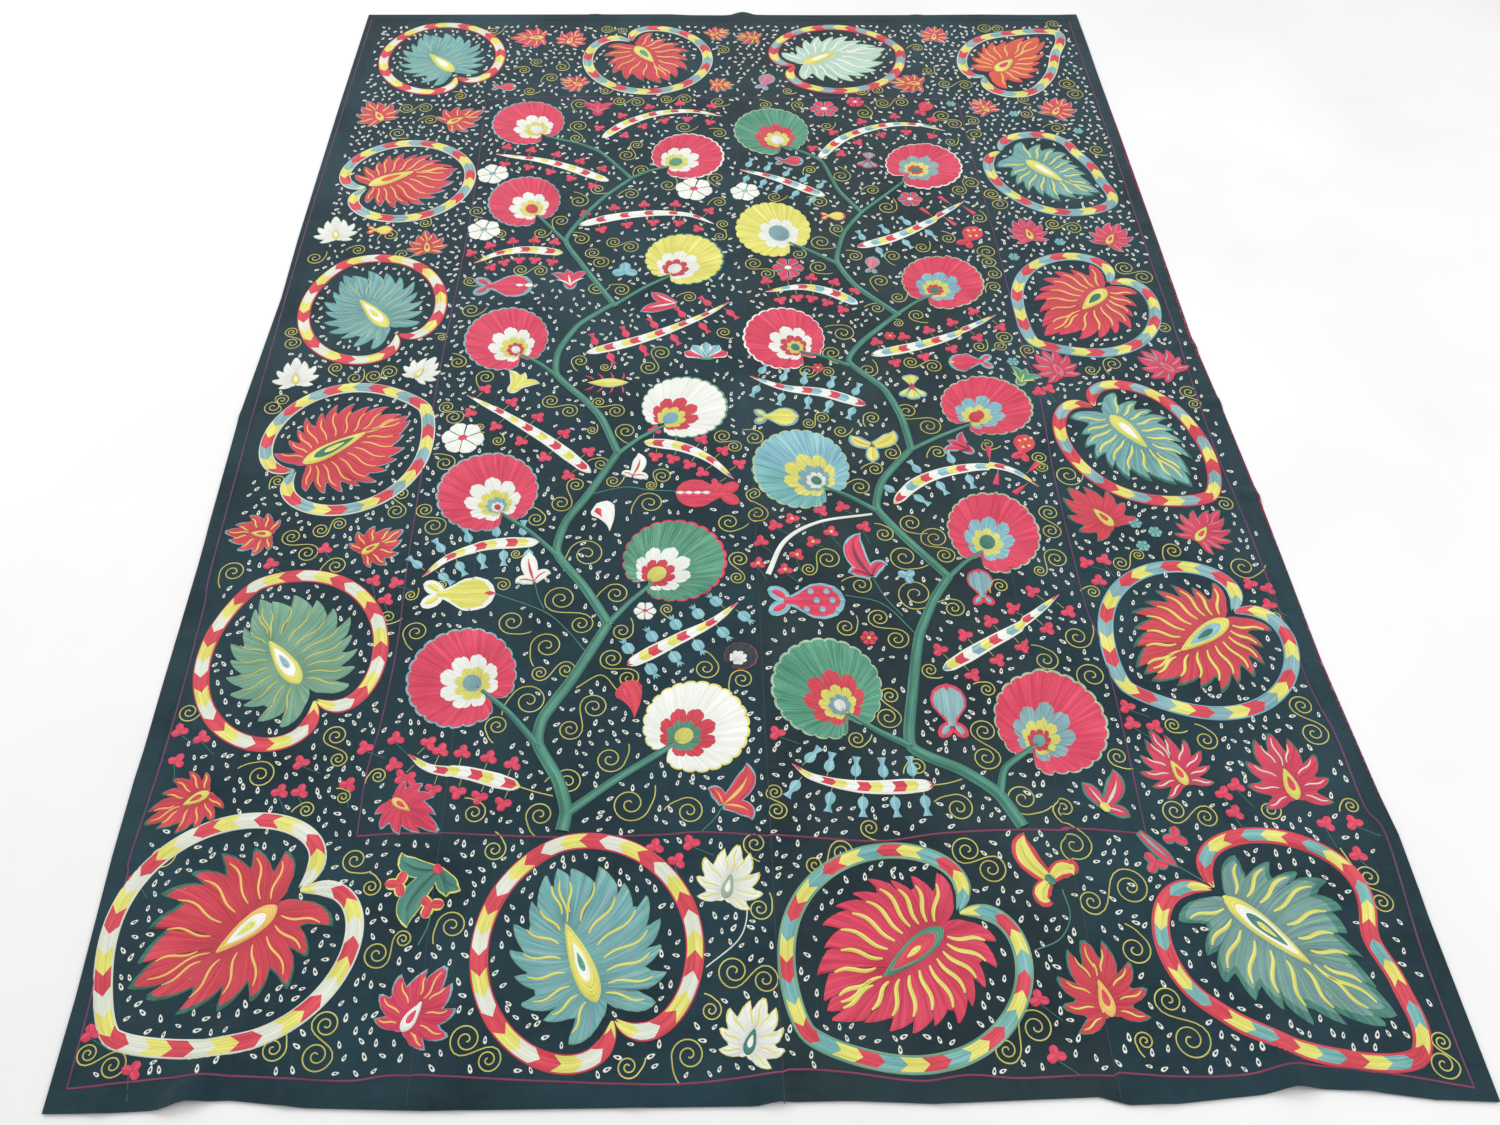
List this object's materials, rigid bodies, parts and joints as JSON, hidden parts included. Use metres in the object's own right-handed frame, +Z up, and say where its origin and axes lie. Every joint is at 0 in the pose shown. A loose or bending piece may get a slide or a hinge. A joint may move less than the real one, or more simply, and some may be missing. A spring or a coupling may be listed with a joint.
{
  "type": "suzani embroidered textile",
  "caption": "Large rectangular embroidered cloth of narrow strips sewn edge to edge, hemmed and lined, laid out flat with small ripples at its hem.",
  "frame": {"origin": "on the floor under the middle of the cloth's outline", "axes": "+X across the loom strips to the viewer's right, +Y along the strips away from the viewer, +Z up out of the embroidered face"},
  "size_m": [1.678, 2.4, 0.0136],
  "materials": {
    "ground_cloth": "dark teal-navy plain-woven cotton, matt, a little blotchy, covered in chain and satin stitch embroidery",
    "lining_cloth": "maroon printed cotton with pink motifs, matt"
  },
  "bodies": {
    "root": {"panel_1": "ground_cloth", "panel_2": "ground_cloth", "panel_3": "ground_cloth", "panel_4": "ground_cloth", "lining": "lining_cloth"}
  },
  "joints": []
}
